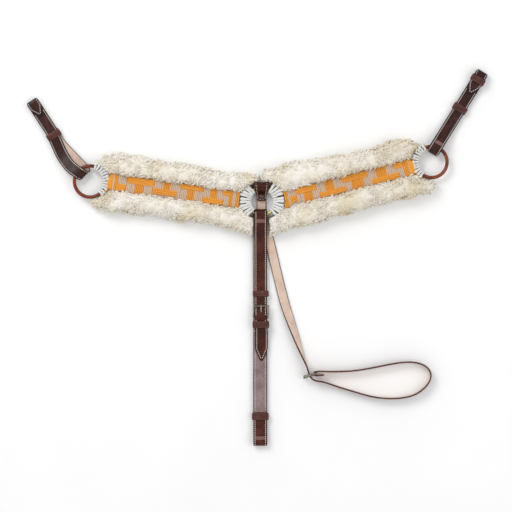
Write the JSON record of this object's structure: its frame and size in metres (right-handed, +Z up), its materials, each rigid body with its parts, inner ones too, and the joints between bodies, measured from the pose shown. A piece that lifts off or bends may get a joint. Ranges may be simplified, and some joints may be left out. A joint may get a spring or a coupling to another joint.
{
  "type": "breastplate",
  "caption": "Fleece-lined breastplate with woven tugs laced to rings, a buckled chest strap, a looped long strap and two side straps with keepers.",
  "frame": {"origin": "middle of the part's footprint, on the surface it lies on", "axes": "+X across the part from one side ring to the other, +Y from the end of the chest strap towards the side straps, +Z up off the surface, out of the front face"},
  "size_m": [0.925, 0.7558, 0.0352],
  "materials": {
    "fleece": "matte",
    "band": "matte",
    "cord": "matte",
    "leather": "satin",
    "side_ring": "satin",
    "brass_ring": "satin",
    "nickel": "polished"
  },
  "bodies": {
    "hub": {"centre_ring": "brass_ring", "left_inner_lacing": "cord", "right_inner_lacing": "cord"},
    "left_tug": {"left_fleece": "fleece", "left_band": "band"},
    "right_tug": {"right_fleece": "fleece", "right_band": "band"},
    "left_ring": {"left_side_ring": "side_ring", "left_outer_lacing": "cord"},
    "right_ring": {"right_side_ring": "side_ring", "right_outer_lacing": "cord"},
    "left_strap": {"left_side_strap": "leather"},
    "right_strap": {"right_side_strap": "leather"},
    "left_keeper": {"left_strap_keeper": "leather"},
    "lower_right_keeper": {"right_keeper_lower": "leather"},
    "upper_right_keeper": {"right_keeper_upper": "leather"},
    "chest": {"chest_strap": "leather", "chest_chape": "leather", "chest_keeper_sewn": "leather"},
    "chest_slider": {"chest_keeper_sliding": "leather"},
    "chest_bottom_slider": {"chest_keeper_bottom": "leather"},
    "chest_frame": {"chest_buckle_frame": "nickel"},
    "chest_pin": {"chest_buckle_tongue": "nickel"},
    "long": {"long_strap": "leather", "tab_snap": "nickel"},
    "long_frame": {"long_buckle_frame": "nickel"},
    "long_pin": {"long_buckle_tongue": "nickel"}
  },
  "joints": [
    {"name": "left_tug_fold", "type": "hinge", "parent": "hub", "child": "left_tug", "pos_m": [-0.03097, 0.11779, 0.01416], "axis": [0.1382, 0.9904, 0], "range_deg": [-35, 50]},
    {"name": "right_tug_fold", "type": "hinge", "parent": "hub", "child": "right_tug", "pos_m": [0.04932, 0.12242, 0.01416], "axis": [0.2512, -0.9679, 0], "range_deg": [-35, 50]},
    {"name": "left_ring_fold", "type": "hinge", "parent": "left_tug", "child": "left_ring", "pos_m": [-0.29401, 0.15449, 0.01416], "axis": [0.1382, 0.9904, 0], "range_deg": [-30, 30]},
    {"name": "right_ring_fold", "type": "hinge", "parent": "right_tug", "child": "right_ring", "pos_m": [0.30797, 0.18955, 0.01416], "axis": [0.2512, -0.9679, 0], "range_deg": [-30, 30]},
    {"name": "left_strap_swing", "type": "hinge", "parent": "left_ring", "child": "left_strap", "pos_m": [-0.34988, 0.17805, 0.01416], "axis": [0.7181, 0.6959, 0], "range_deg": [-8, 20]},
    {"name": "right_strap_swing", "type": "hinge", "parent": "right_ring", "child": "right_strap", "pos_m": [0.35775, 0.21999, 0.01416], "axis": [0.849, -0.5284, 0], "range_deg": [-8, 20]},
    {"name": "left_keeper_slide", "type": "slide", "parent": "left_strap", "child": "left_keeper", "axis": [-0.5446, 0.8387, 0], "range_m": [-0.005, 0.025]},
    {"name": "right_lower_keeper_slide", "type": "slide", "parent": "right_strap", "child": "lower_right_keeper", "axis": [0.5284, 0.849, 0], "range_m": [-0.012, 0.025]},
    {"name": "right_upper_keeper_slide", "type": "slide", "parent": "right_strap", "child": "upper_right_keeper", "axis": [0.5284, 0.849, 0], "range_m": [-0.014, 0.002]},
    {"name": "chest_strap_lift", "type": "hinge", "parent": "hub", "child": "chest", "pos_m": [0.00763, 0.08592, 0.01416], "axis": [-1, 0, 0], "range_deg": [0, 45]},
    {"name": "chest_keeper_slide", "type": "slide", "parent": "chest", "child": "chest_slider", "axis": [0, -1, 0], "range_m": [-0.006, 0.012]},
    {"name": "chest_bottom_keeper_slide", "type": "slide", "parent": "chest", "child": "chest_bottom_slider", "axis": [0, -1, 0], "range_m": [-0.03, 0.007]},
    {"name": "chest_buckle_tilt", "type": "hinge", "parent": "chest", "child": "chest_frame", "pos_m": [0.00763, -0.12088, 0.01096], "axis": [1, 0, 0], "range_deg": [0, 8]},
    {"name": "chest_tongue_lift", "type": "hinge", "parent": "chest_frame", "child": "chest_pin", "pos_m": [0.00763, -0.12088, 0.01096], "axis": [1, 0, 0], "range_deg": [0, 20]},
    {"name": "long_strap_swing", "type": "hinge", "parent": "hub", "child": "long", "pos_m": [0.00863, 0.14012, 0.01416], "axis": [0, 0, 1], "range_deg": [-3, 5]},
    {"name": "long_buckle_turn", "type": "hinge", "parent": "long", "child": "long_frame", "pos_m": [0.11763, -0.23288, 0.01376], "axis": [0, 0, 1], "range_deg": [-5, 5]},
    {"name": "long_tongue_turn", "type": "hinge", "parent": "long_frame", "child": "long_pin", "pos_m": [0.11763, -0.23288, 0.01376], "axis": [0, 0, 1], "range_deg": [0, 10]}
  ]
}
